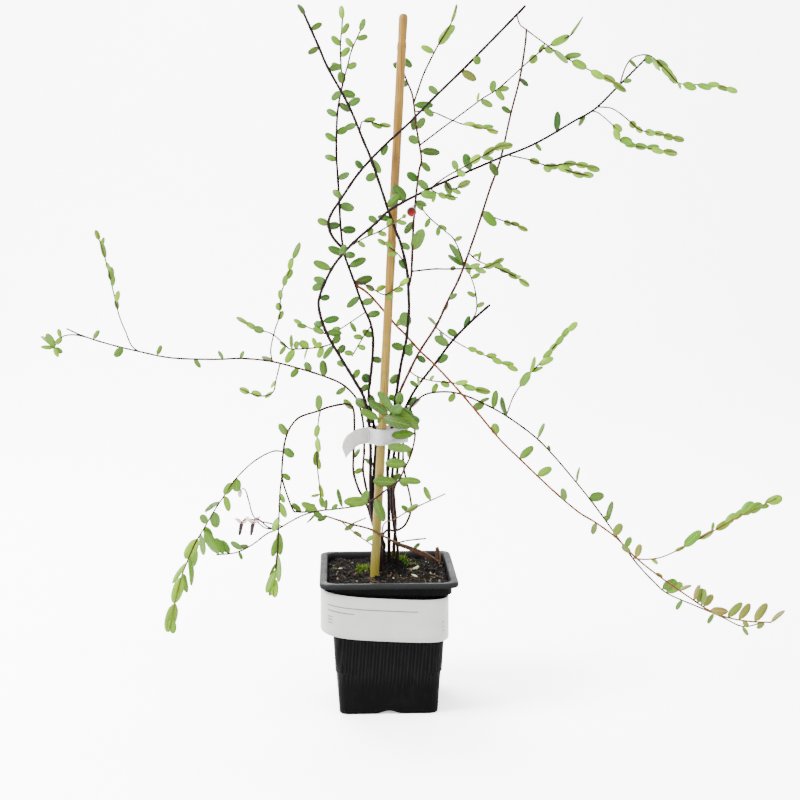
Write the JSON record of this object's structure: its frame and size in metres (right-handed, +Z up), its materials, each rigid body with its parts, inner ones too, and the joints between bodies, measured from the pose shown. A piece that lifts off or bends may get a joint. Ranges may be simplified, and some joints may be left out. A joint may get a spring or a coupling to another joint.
{
  "type": "potted cranberry plant",
  "caption": "Young cranberry plant in a square plastic nursery pot, with small-leaved trailing stems tied to a bamboo cane and a paper label band round the pot.",
  "frame": {"origin": "centre of the pot's underside, on the ground", "axes": "+Z up, -Y towards the viewer of the picture, +X to the right in the picture"},
  "size_m": [0.4966, 0.1457, 0.4592],
  "materials": {
    "pot_plastic": "satin",
    "soil_mix": "rough",
    "cane_skin": "satin",
    "label_paper": "matt",
    "tie_tape": "glossy",
    "staple_steel": "bright",
    "leaf": "satin",
    "petal": "satin",
    "berry_skin": "glossy"
  },
  "bodies": {
    "root": {"pot": "pot_plastic", "soil": "soil_mix", "cane": "cane_skin", "label_band": "label_paper", "tie_tape": "tie_tape", "staple": "staple_steel", "stem_a": "leaf", "stem_e": "leaf", "stem_f": "leaf", "stem_g": "leaf", "stem_h": "leaf", "stem_j": "leaf", "stem_l": "leaf", "stem_m": "leaf", "stem_q": "leaf", "flower_1": "petal", "flower_2": "petal", "flower_bud": "petal", "berry": "berry_skin"}
  },
  "joints": []
}
